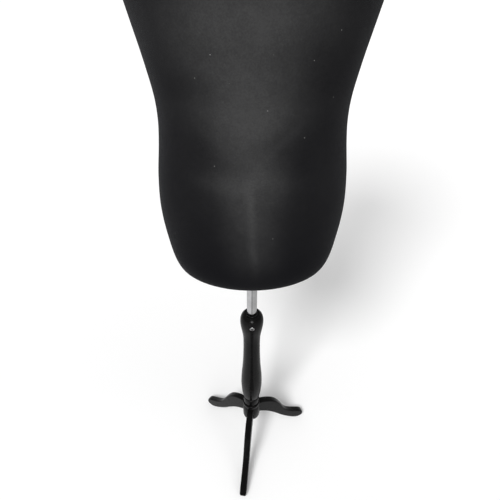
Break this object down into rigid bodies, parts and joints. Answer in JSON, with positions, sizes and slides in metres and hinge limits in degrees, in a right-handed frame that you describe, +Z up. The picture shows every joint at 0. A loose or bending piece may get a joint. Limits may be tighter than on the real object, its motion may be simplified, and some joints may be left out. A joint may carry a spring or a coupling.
{
  "type": "dress form mannequin",
  "caption": "Headless, armless torso form in black jersey on a chrome pole, clamped at any height in a turned black wooden column on a tripod of curved legs.",
  "frame": {"origin": "on the floor, under the centre of the whole object's bounding box; the pole axis stands at x = 0, y = 0.0328 m", "axes": "+Z up along the pole; the form faces -Y; its own left arm is on the +X side; the tripod's front leg points 9 degrees from -Y towards -X"},
  "size_m": [0.406, 0.3253, 1.5703],
  "materials": {
    "jersey": "black knitted jersey with a soft fuzz",
    "shell": "moulded, matt",
    "lacquered_wood": "black gloss lacquer",
    "board": "sawn fibreboard",
    "raw_wood": "unfinished",
    "chrome": "polished",
    "bright_steel": "bright zinc plated",
    "zinc_steel": "zinc plated",
    "black_steel": "black powder coat",
    "brass": "machined",
    "black_plastic": "moulded, satin"
  },
  "bodies": {
    "stand": {"column": "lacquered_wood", "column_bush": "black_plastic", "column_insert": "brass", "hub": "lacquered_wood", "tie_rod": "zinc_steel", "tie_washer": "zinc_steel", "tie_nut": "zinc_steel", "leg_front": "lacquered_wood", "leg_left": "lacquered_wood", "leg_right": "lacquered_wood", "foot_glide_front": "black_plastic", "foot_glide_left": "black_plastic", "foot_glide_right": "black_plastic", "leg_dowel_front_upper": "raw_wood", "leg_dowel_front_lower": "raw_wood", "leg_dowel_left_upper": "raw_wood", "leg_dowel_left_lower": "raw_wood", "leg_dowel_right_upper": "raw_wood", "leg_dowel_right_lower": "raw_wood"},
    "pole": {"pole_tube": "chrome", "pole_top_plug": "black_plastic", "pole_foot_plug": "black_plastic"},
    "torso": {"torso_shell_front": "shell", "torso_shell_back": "shell", "jersey_cover": "jersey", "arm_cap_left": "shell", "arm_cap_right": "shell", "neck_block": "raw_wood", "neck_cap": "lacquered_wood", "neck_dowel_screw": "zinc_steel", "base_board": "board", "socket_flange": "black_steel", "flange_screw_1": "zinc_steel", "flange_screw_2": "zinc_steel", "flange_screw_3": "zinc_steel", "flange_screw_4": "zinc_steel"},
    "clamp_screw": {"clamp_screw": "bright_steel"},
    "thumb_screw": {"socket_thumb_screw": "black_plastic"}
  },
  "joints": [
    {"name": "height_slide", "type": "slide", "parent": "stand", "child": "pole", "axis": [0, 0, 1], "range_m": [-0.11, 0.14]},
    {"name": "torso_swivel", "type": "hinge", "parent": "pole", "child": "torso", "pos_m": [0, 0.0328, 0.75], "axis": [0, 0, 1], "continuous": true},
    {"name": "clamp_screw_turn", "type": "hinge", "parent": "stand", "child": "clamp_screw", "pos_m": [0, 0.0328, 0.569], "axis": [0, -1, 0], "range_deg": [0, 720]},
    {"name": "thumb_screw_turn", "type": "hinge", "parent": "torso", "child": "thumb_screw", "pos_m": [0, 0.0328, 0.736], "axis": [0, 1, 0], "range_deg": [0, 720]}
  ]
}
